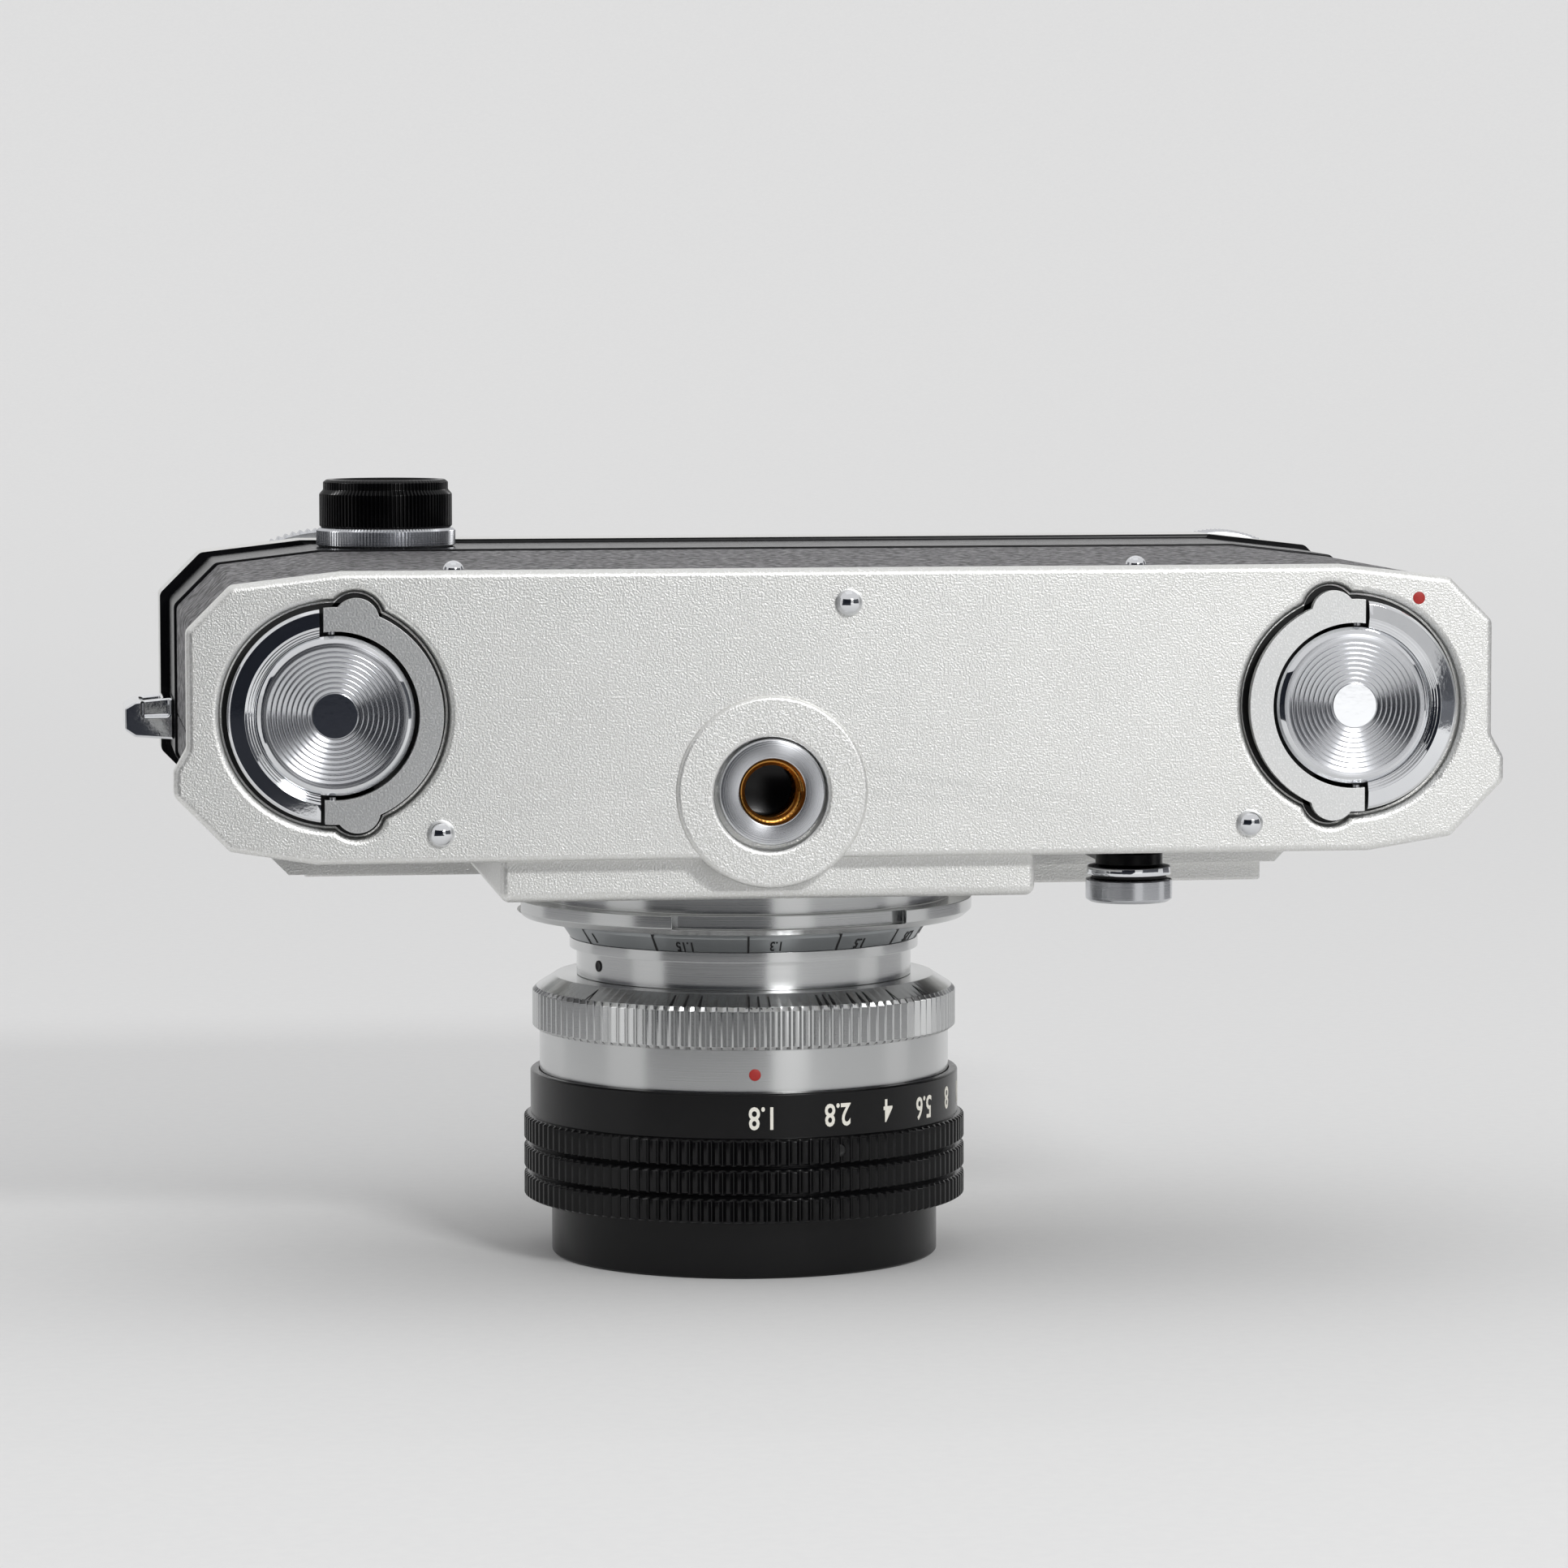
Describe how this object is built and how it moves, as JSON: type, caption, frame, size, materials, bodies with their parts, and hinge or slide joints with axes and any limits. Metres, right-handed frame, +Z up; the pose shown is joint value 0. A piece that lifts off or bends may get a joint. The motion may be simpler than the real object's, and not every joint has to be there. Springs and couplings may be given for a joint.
{
  "type": "rangefinder film camera",
  "caption": "Rangefinder film camera standing on the rim of its lens, with folding lock keys and a tripod socket in its base, a removable back and turning lens rings.",
  "frame": {"origin": "the optical axis at the front rim of the lens, where the camera stands", "axes": "+Z up along the optical axis to the camera back, -Y out of the base plate, +X to the viewer's right"},
  "size_m": [0.143, 0.0929, 0.0822],
  "materials": {
    "satin_chrome": "fine sand-blasted satin",
    "polished_chrome": "mirror",
    "black_enamel": "gloss",
    "leatherette": "pebble grain",
    "black_anodised": "satin",
    "turned_aluminium": "fine turned",
    "cast_aluminium": "cast, painted matt black inside",
    "glass": "polished, coated",
    "brass": "machined",
    "spring_steel": "bright",
    "curtain_cloth": "rubberised"
  },
  "bodies": {
    "camera_body": {"body_casting": "cast_aluminium", "shoulder_band": "black_enamel", "front_leather_left": "leatherette", "front_leather_right": "leatherette", "mount_apron": "satin_chrome", "mount_flange": "turned_aluminium", "top_cover": "satin_chrome", "viewfinder_bezel": "satin_chrome", "rangefinder_bezel": "satin_chrome", "viewfinder_window": "glass", "frame_window": "glass", "rangefinder_window": "glass", "accessory_shoe": "polished_chrome", "strap_lug_left": "polished_chrome", "strap_lug_right": "polished_chrome", "rangefinder_block": "black_anodised", "film_gate": "spring_steel", "timer_collar": "black_anodised", "button_collar": "polished_chrome", "curtain_drums": "brass", "shutter_curtain": "curtain_cloth", "eyepiece_ring": "polished_chrome", "eyepiece_adapter": "black_anodised", "eyepiece_lens": "glass"},
    "removable_back": {"base_plate": "satin_chrome", "back_shell": "black_enamel", "back_leather": "leatherette", "dome_studs": "polished_chrome", "tripod_socket": "polished_chrome", "pressure_plate": "spring_steel", "pressure_spring": "spring_steel"},
    "lock_left": {"lock_disc_left": "polished_chrome", "lock_ring_left": "polished_chrome"},
    "handle_left": {"lock_handle_left": "satin_chrome", "handle_pins_left": "spring_steel"},
    "lock_right": {"lock_disc_right": "polished_chrome", "lock_ring_right": "polished_chrome"},
    "handle_right": {"lock_handle_right": "satin_chrome", "handle_pins_right": "spring_steel"},
    "helicoid": {"helicoid_sleeve": "brass"},
    "lens": {"scale_ring": "turned_aluminium", "lens_grip": "turned_aluminium", "lens_barrel": "turned_aluminium", "front_barrel": "black_anodised", "name_ring": "black_anodised", "front_element": "glass", "rear_element": "glass", "iris_unit": "black_anodised"},
    "aperture": {"aperture_ring": "black_anodised"},
    "self_timer": {"timer_lever": "polished_chrome"},
    "shutter_button": {"release_button": "polished_chrome"},
    "winder": {"advance_lever": "polished_chrome"},
    "speed_selector": {"speed_dial": "satin_chrome"},
    "take_up": {"take_up_spool": "black_anodised"},
    "sprocket": {"sprocket_shaft": "black_anodised"},
    "film_reminder": {"film_dial": "satin_chrome"},
    "rewind": {"rewind_knob": "polished_chrome", "rewind_fork": "spring_steel"},
    "crank": {"rewind_crank": "polished_chrome"},
    "release": {"rewind_release": "polished_chrome"}
  },
  "joints": [
    {"name": "back_slide", "type": "slide", "parent": "camera_body", "child": "removable_back", "axis": [0, -1, 0], "range_m": [0, 0.085]},
    {"name": "lock_left_turn", "type": "hinge", "parent": "removable_back", "child": "lock_left", "pos_m": [-0.04565, -0.036, 0.0604], "axis": [0, 1, 0], "range_deg": [0, 180]},
    {"name": "lock_right_turn", "type": "hinge", "parent": "removable_back", "child": "lock_right", "pos_m": [0.05815, -0.036, 0.0604], "axis": [0, -1, 0], "range_deg": [0, 180]},
    {"name": "handle_left_fold", "type": "hinge", "parent": "lock_left", "child": "handle_left", "pos_m": [-0.04595, -0.03667, 0.0604], "axis": [0, 0, -1], "range_deg": [0, 100]},
    {"name": "handle_right_fold", "type": "hinge", "parent": "lock_right", "child": "handle_right", "pos_m": [0.05845, -0.03667, 0.0604], "axis": [0, 0, 1], "range_deg": [0, 100]},
    {"name": "focus_travel", "type": "slide", "parent": "camera_body", "child": "helicoid", "axis": [0, 0, -1], "range_m": [-0.00126, 0.00084]},
    {"name": "focus_turn", "type": "hinge", "parent": "helicoid", "child": "lens", "pos_m": [0, 0, 0.03], "axis": [0, 0, 1], "range_deg": [-150, 100]},
    {"name": "aperture_turn", "type": "hinge", "parent": "lens", "child": "aperture", "pos_m": [0, 0, 0.012], "axis": [0, 0, -1], "range_deg": [0, 107]},
    {"name": "timer_swing", "type": "hinge", "parent": "camera_body", "child": "self_timer", "pos_m": [0.0412, -0.004, 0.04], "axis": [0, 0, -1], "range_deg": [0, 150]},
    {"name": "shutter_press", "type": "slide", "parent": "camera_body", "child": "shutter_button", "axis": [0, -1, 0], "range_m": [0, 0.0015], "stiffness_N_per_m": 300, "springref_m": -0.002},
    {"name": "release_press", "type": "slide", "parent": "camera_body", "child": "release", "axis": [0, -1, 0], "range_m": [0, 0.0009], "stiffness_N_per_m": 300, "springref_m": -0.001},
    {"name": "wind_stroke", "type": "hinge", "parent": "camera_body", "child": "winder", "pos_m": [0.0608, 0.046, 0.0639], "axis": [0, 1, 0], "range_deg": [0, 150], "stiffness_Nm_per_rad": 0.006, "springref_deg": -34.38},
    {"name": "speed_turn", "type": "hinge", "parent": "camera_body", "child": "speed_selector", "pos_m": [0.0608, 0.045, 0.0639], "axis": [0, 1, 0], "range_deg": [-140, 140]},
    {"name": "spool_turn", "type": "hinge", "parent": "camera_body", "child": "take_up", "pos_m": [0.056, 0, 0.061], "axis": [0, 1, 0], "range_deg": [-5, 160]},
    {"name": "sprocket_turn", "type": "hinge", "parent": "camera_body", "child": "sprocket", "pos_m": [0.037, 0, 0.063], "axis": [0, 1, 0], "range_deg": [-370, 10]},
    {"name": "reminder_turn", "type": "hinge", "parent": "camera_body", "child": "film_reminder", "pos_m": [-0.042, 0.045, 0.0607], "axis": [0, 1, 0], "range_deg": [-150, 150]},
    {"name": "rewind_spin", "type": "hinge", "parent": "camera_body", "child": "rewind", "pos_m": [-0.042, 0.045, 0.0607], "axis": [0, -1, 0], "continuous": true},
    {"name": "crank_fold", "type": "hinge", "parent": "rewind", "child": "crank", "pos_m": [-0.0426, 0.0527, 0.0607], "axis": [0, 0, 1], "range_deg": [0, 100]}
  ],
  "couplings": [
    {"joint": "focus_turn", "follows": "focus_travel", "rad_per_m": 2083.3},
    {"joint": "spool_turn", "follows": "wind_stroke", "ratio": 1},
    {"joint": "sprocket_turn", "follows": "wind_stroke", "ratio": -2.4}
  ]
}
